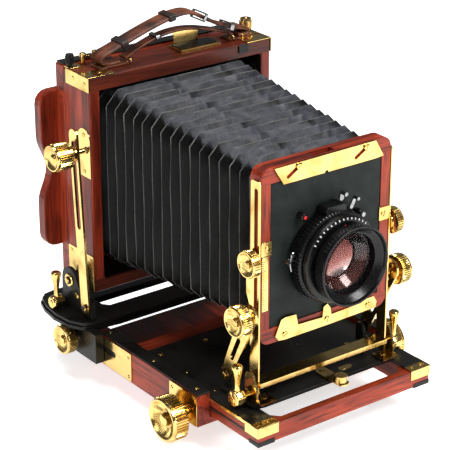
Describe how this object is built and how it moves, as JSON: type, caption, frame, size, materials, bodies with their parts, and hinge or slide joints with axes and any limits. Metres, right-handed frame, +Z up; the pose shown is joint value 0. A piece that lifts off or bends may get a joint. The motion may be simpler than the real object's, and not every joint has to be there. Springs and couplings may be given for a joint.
{
  "type": "folding wooden view camera",
  "caption": "Wooden folding field camera on a brass-bound bed, with a geared focusing frame, tapered bellows, a rising and tilting lens frame and a tilting spring back.",
  "frame": {"origin": "centre of the underside of the tripod plate", "axes": "+Z up; -Y is the way the lens looks; +X is on the right of a viewer who stands in front of the lens and faces it"},
  "size_m": [0.223, 0.2582, 0.2601],
  "materials": {
    "lacquered_wood": "red hardwood under gloss lacquer",
    "polished_brass": "polished, lacquered brass",
    "black_metal": "satin black enamel on aluminium",
    "shutter_black": "fine black crinkle and anodised black",
    "bright_steel": "bright steel",
    "lens_glass": "coated optical glass",
    "ground_glass": "ground on one side",
    "handle_leather": "stitched brown leather",
    "bellows_leather": "black folded leathercloth"
  },
  "bodies": {
    "root": {"bed_left_rail": "lacquered_wood", "bed_right_rail": "lacquered_wood", "bed_left_top_strip": "black_metal", "bed_right_top_strip": "black_metal", "bed_bottom_board": "lacquered_wood", "tripod_plate": "black_metal"},
    "focus_drive": {"pinion_shaft": "polished_brass", "focus_knob_left": "polished_brass", "focus_knob_right": "polished_brass"},
    "focus_rails": {"focus_frame": "lacquered_wood", "focus_top_plate": "black_metal", "focus_rack_left": "polished_brass", "focus_rack_right": "polished_brass"},
    "front_base": {"front_base_plate": "black_metal", "front_foot_left": "polished_brass", "front_foot_right": "polished_brass"},
    "swing_tongue": {"swing_tongue": "polished_brass"},
    "front_standard": {"front_u_frame": "polished_brass"},
    "lens_standard": {"lens_frame": "lacquered_wood", "lens_board": "shutter_black", "bottom_catch": "polished_brass", "shutter_body": "shutter_black", "front_lens_cell": "shutter_black", "front_element": "lens_glass", "rear_lens_cell": "shutter_black", "rear_element": "lens_glass"},
    "top_catch": {"top_catch": "polished_brass"},
    "speed_ring": {"speed_ring": "shutter_black"},
    "cocking_lever": {"cocking_lever": "bright_steel"},
    "release_lever": {"release_lever": "bright_steel"},
    "aperture_lever": {"aperture_lever": "bright_steel"},
    "rear_base": {"rear_slide_plate": "black_metal"},
    "rear_swing": {"rear_swing_plate": "black_metal"},
    "rear_standard": {"rear_standard": "lacquered_wood", "reversible_back": "lacquered_wood", "top_bracket": "polished_brass", "handle_strap": "handle_leather", "bellows": "bellows_leather"},
    "glass_back": {"ground_glass_frame": "lacquered_wood", "ground_glass": "ground_glass", "back_spring_left": "bright_steel", "back_spring_right": "bright_steel"},
    "front_lever_left": {"front_lever_left": "polished_brass"},
    "front_strut_left": {"front_strut_left": "polished_brass"},
    "tilt_knob_left": {"tilt_knob_left": "polished_brass"},
    "rise_knob_left": {"rise_knob_left": "polished_brass"},
    "rear_lock_knob_left": {"rear_lock_knob_left": "polished_brass"},
    "rear_lever_left": {"rear_lever_left": "polished_brass"},
    "rear_strut_left": {"rear_strut_left": "polished_brass"},
    "rear_tilt_knob_left": {"rear_tilt_knob_left": "polished_brass"},
    "top_knob_left": {"top_knob_left": "black_metal"},
    "front_lever_right": {"front_lever_right": "polished_brass"},
    "front_strut_right": {"front_strut_right": "polished_brass"},
    "tilt_knob_right": {"tilt_knob_right": "polished_brass"},
    "rise_knob_right": {"rise_knob_right": "polished_brass"},
    "rear_lock_knob_right": {"rear_lock_knob_right": "polished_brass"},
    "rear_lever_right": {"rear_lever_right": "polished_brass"},
    "rear_strut_right": {"rear_strut_right": "polished_brass"},
    "rear_tilt_knob_right": {"rear_tilt_knob_right": "polished_brass"},
    "top_knob_right": {"top_knob_right": "polished_brass"}
  },
  "joints": [
    {"name": "focus_slide", "type": "slide", "parent": "root", "child": "focus_rails", "axis": [0, -1, 0], "range_m": [-0.022, 0.06], "deforming": ["bellows"]},
    {"name": "focus_knob_turn", "type": "hinge", "parent": "root", "child": "focus_drive", "pos_m": [0, -0.0601, 0.0188], "axis": [1, 0, 0], "range_deg": [-281, 765]},
    {"name": "front_swing", "type": "hinge", "parent": "focus_rails", "child": "front_base", "pos_m": [0, -0.0938, 0.0364], "axis": [0, 0, 1], "range_deg": [-8, 8], "deforming": ["bellows"]},
    {"name": "swing_tongue_turn", "type": "hinge", "parent": "front_base", "child": "swing_tongue", "pos_m": [0.00375, -0.1005, 0.0394], "axis": [0, 0, 1], "range_deg": [-25, 25]},
    {"name": "front_tilt", "type": "hinge", "parent": "front_base", "child": "front_standard", "pos_m": [0, -0.1038, 0.0498], "axis": [1, 0, 0], "range_deg": [-6, 8], "deforming": ["bellows"]},
    {"name": "front_rise", "type": "slide", "parent": "front_standard", "child": "lens_standard", "axis": [0, 0, 1], "range_m": [-0.016, 0.02], "deforming": ["bellows"]},
    {"name": "top_catch_slide", "type": "slide", "parent": "lens_standard", "child": "top_catch", "axis": [0.8572, 0, 0.515], "range_m": [0, 0.006]},
    {"name": "speed_ring_turn", "type": "hinge", "parent": "lens_standard", "child": "speed_ring", "pos_m": [0, -0.1058, 0.135], "axis": [0, 1, 0], "range_deg": [-60, 60]},
    {"name": "cocking_lever_turn", "type": "hinge", "parent": "lens_standard", "child": "cocking_lever", "pos_m": [0, -0.1058, 0.135], "axis": [0, 1, 0], "range_deg": [-30, 0]},
    {"name": "release_lever_turn", "type": "hinge", "parent": "lens_standard", "child": "release_lever", "pos_m": [0, -0.1058, 0.135], "axis": [0, 1, 0], "range_deg": [0, 12], "stiffness_Nm_per_rad": 0.05},
    {"name": "aperture_lever_turn", "type": "hinge", "parent": "lens_standard", "child": "aperture_lever", "pos_m": [0, -0.1058, 0.135], "axis": [0, 1, 0], "range_deg": [-25, 25]},
    {"name": "rear_slide", "type": "slide", "parent": "root", "child": "rear_base", "axis": [0, -1, 0], "range_m": [0, 0.025], "deforming": ["bellows"]},
    {"name": "rear_swing_turn", "type": "hinge", "parent": "rear_base", "child": "rear_swing", "pos_m": [0, 0.0822, 0.044], "axis": [0, 0, 1], "range_deg": [-6, 6], "deforming": ["bellows"]},
    {"name": "rear_tilt", "type": "hinge", "parent": "rear_swing", "child": "rear_standard", "pos_m": [0, 0.0822, 0.0686], "axis": [1, 0, 0], "range_deg": [-8, 5], "deforming": ["bellows"]},
    {"name": "back_opening", "type": "slide", "parent": "rear_standard", "child": "glass_back", "axis": [0, 1, 0], "range_m": [0, 0.014], "stiffness_N_per_m": 300},
    {"name": "front_lever_turn_left", "type": "hinge", "parent": "front_base", "child": "front_lever_left", "pos_m": [-0.0708, -0.0998, 0.0425], "axis": [1, 0, 0], "range_deg": [0, 75]},
    {"name": "front_strut_turn_left", "type": "hinge", "parent": "front_base", "child": "front_strut_left", "pos_m": [-0.063, -0.0768, 0.0485], "axis": [1, 0, 0], "range_deg": [-7, 7]},
    {"name": "tilt_knob_turn_left", "type": "hinge", "parent": "front_standard", "child": "tilt_knob_left", "pos_m": [-0.0642, -0.1017, 0.1013], "axis": [1, 0, 0], "range_deg": [0, 180]},
    {"name": "rise_knob_turn_left", "type": "hinge", "parent": "lens_standard", "child": "rise_knob_left", "pos_m": [-0.0581, -0.1026, 0.1415], "axis": [1, 0, 0], "range_deg": [0, 180]},
    {"name": "rear_lock_knob_turn_left", "type": "hinge", "parent": "rear_base", "child": "rear_lock_knob_left", "pos_m": [-0.0972, 0.0682, 0.0296], "axis": [1, 0, 0], "range_deg": [0, 180]},
    {"name": "rear_lever_turn_left", "type": "hinge", "parent": "rear_swing", "child": "rear_lever_left", "pos_m": [-0.0985, 0.0866, 0.052], "axis": [1, 0, 0], "range_deg": [-75, 0]},
    {"name": "rear_strut_turn_left", "type": "hinge", "parent": "rear_swing", "child": "rear_strut_left", "pos_m": [-0.0915, 0.0572, 0.056], "axis": [1, 0, 0], "range_deg": [-7.5, 5]},
    {"name": "rear_tilt_knob_turn_left", "type": "hinge", "parent": "rear_standard", "child": "rear_tilt_knob_left", "pos_m": [-0.093, 0.0652, 0.1753], "axis": [1, 0, 0], "range_deg": [0, 180]},
    {"name": "top_knob_turn_left", "type": "hinge", "parent": "rear_standard", "child": "top_knob_left", "pos_m": [-0.0775, 0.0905, 0.2314], "axis": [0, 0, 1], "range_deg": [-90, 90]},
    {"name": "front_lever_turn_right", "type": "hinge", "parent": "front_base", "child": "front_lever_right", "pos_m": [0.0708, -0.0998, 0.0425], "axis": [1, 0, 0], "range_deg": [0, 75]},
    {"name": "front_strut_turn_right", "type": "hinge", "parent": "front_base", "child": "front_strut_right", "pos_m": [0.063, -0.0768, 0.0485], "axis": [1, 0, 0], "range_deg": [-7, 7]},
    {"name": "tilt_knob_turn_right", "type": "hinge", "parent": "front_standard", "child": "tilt_knob_right", "pos_m": [0.0642, -0.1017, 0.1013], "axis": [1, 0, 0], "range_deg": [-180, 0]},
    {"name": "rise_knob_turn_right", "type": "hinge", "parent": "lens_standard", "child": "rise_knob_right", "pos_m": [0.0581, -0.1026, 0.1415], "axis": [1, 0, 0], "range_deg": [-180, 0]},
    {"name": "rear_lock_knob_turn_right", "type": "hinge", "parent": "rear_base", "child": "rear_lock_knob_right", "pos_m": [0.0972, 0.0682, 0.0296], "axis": [1, 0, 0], "range_deg": [-180, 0]},
    {"name": "rear_lever_turn_right", "type": "hinge", "parent": "rear_swing", "child": "rear_lever_right", "pos_m": [0.0985, 0.0866, 0.052], "axis": [1, 0, 0], "range_deg": [-75, 0]},
    {"name": "rear_strut_turn_right", "type": "hinge", "parent": "rear_swing", "child": "rear_strut_right", "pos_m": [0.0915, 0.0572, 0.056], "axis": [1, 0, 0], "range_deg": [-7.5, 5]},
    {"name": "rear_tilt_knob_turn_right", "type": "hinge", "parent": "rear_standard", "child": "rear_tilt_knob_right", "pos_m": [0.093, 0.0652, 0.1626], "axis": [1, 0, 0], "range_deg": [-180, 0]},
    {"name": "top_knob_turn_right", "type": "hinge", "parent": "rear_standard", "child": "top_knob_right", "pos_m": [0.0745, 0.0822, 0.2314], "axis": [0, 0, 1], "range_deg": [-90, 90]}
  ],
  "couplings": [
    {"joint": "focus_knob_turn", "follows": "focus_slide", "rad_per_m": 222.22},
    {"joint": "front_strut_turn_left", "follows": "front_tilt", "ratio": 0.78},
    {"joint": "rear_strut_turn_left", "follows": "rear_tilt", "ratio": 0.88},
    {"joint": "front_strut_turn_right", "follows": "front_tilt", "ratio": 0.78},
    {"joint": "rear_strut_turn_right", "follows": "rear_tilt", "ratio": 0.865}
  ]
}
